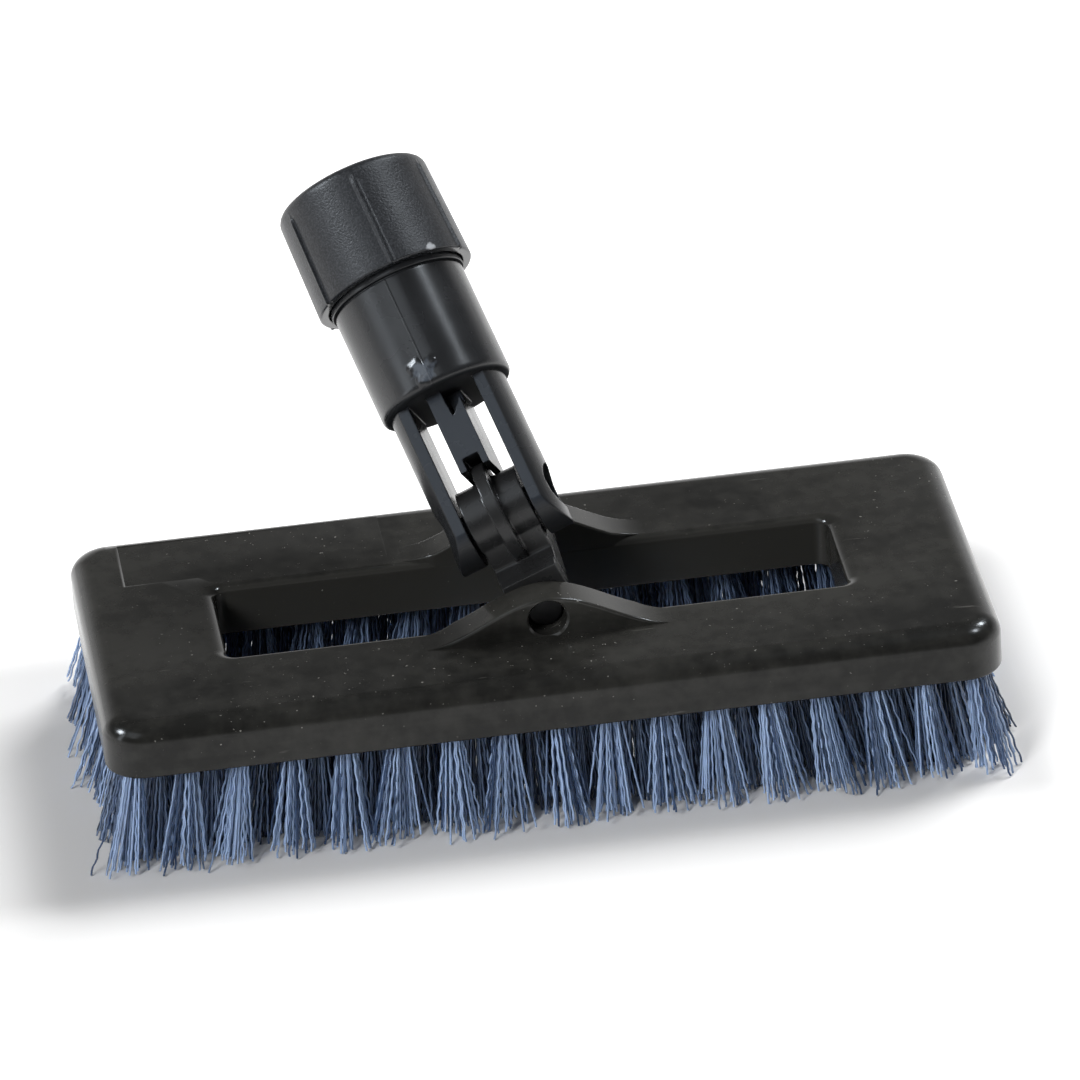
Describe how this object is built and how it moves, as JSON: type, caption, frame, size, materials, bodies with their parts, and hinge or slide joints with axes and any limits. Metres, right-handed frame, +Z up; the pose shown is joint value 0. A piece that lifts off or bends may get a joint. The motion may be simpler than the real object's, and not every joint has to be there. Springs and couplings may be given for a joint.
{
  "type": "floor scrub brush",
  "caption": "Rectangular floor scrub brush with an open window, rows of flared bristle tufts, and a two-way swivel that carries a handle socket with a threaded lock nut.",
  "frame": {"origin": "on the floor under the middle of the whole brush, in the plane of the bristle tips", "axes": "+X to the right along the block, +Y towards the back, where the handle leans, +Z up"},
  "size_m": [0.2108, 0.1198, 0.1241],
  "materials": {
    "block_plastic": "glossy black moulded plastic with fine scuffs",
    "knuckle_plastic": "glossy black moulded plastic",
    "socket_plastic": "satin black moulded plastic with a parting line",
    "nut_plastic": "finely grained black moulded plastic",
    "collet_nylon": "plain dark nylon",
    "dark_steel": "blackened steel",
    "bristle": "stiff blue synthetic filament, crimped"
  },
  "bodies": {
    "block": {"brush_block": "block_plastic", "tilt_pin": "dark_steel", "bristles_front_outer_left": "bristle", "bristles_front_outer_right": "bristle", "bristles_front_middle_left": "bristle", "bristles_front_middle_right": "bristle", "bristles_front_inner_left": "bristle", "bristles_front_inner_right": "bristle", "bristles_back_outer_left": "bristle", "bristles_back_outer_right": "bristle", "bristles_back_middle_left": "bristle", "bristles_back_middle_right": "bristle", "bristles_back_inner_left": "bristle", "bristles_back_inner_right": "bristle", "bristles_left_end_outer": "bristle", "bristles_left_end_middle": "bristle", "bristles_left_end_inner": "bristle", "bristles_right_end_outer": "bristle", "bristles_right_end_middle": "bristle", "bristles_right_end_inner": "bristle"},
    "knuckle": {"swivel_knuckle": "knuckle_plastic"},
    "yoke": {"handle_yoke": "socket_plastic", "lean_pin": "dark_steel"},
    "collet": {"grip_collet": "collet_nylon"},
    "nut": {"lock_nut": "nut_plastic"}
  },
  "joints": [
    {"name": "swivel_tilt", "type": "hinge", "parent": "block", "child": "knuckle", "pos_m": [0.001, -0.0114, 0.0414], "axis": [0, -1, 0], "range_deg": [-68, 22]},
    {"name": "swivel_lean", "type": "hinge", "parent": "knuckle", "child": "yoke", "pos_m": [-0.00545, -0.0114, 0.05659], "axis": [-0.9205, 0, -0.3907], "range_deg": [-115, 25]},
    {"name": "collet_slide", "type": "slide", "parent": "yoke", "child": "collet", "axis": [-0.2763, 0.7071, 0.6509], "range_m": [0, 0.003]},
    {"name": "nut_turn", "type": "hinge", "parent": "collet", "child": "nut", "pos_m": [-0.02879, 0.04835, 0.11159], "axis": [-0.2763, 0.7071, 0.6509], "range_deg": [0, 360]}
  ],
  "couplings": [
    {"joint": "collet_slide", "follows": "nut_turn", "m_per_rad": 0.00047746}
  ]
}
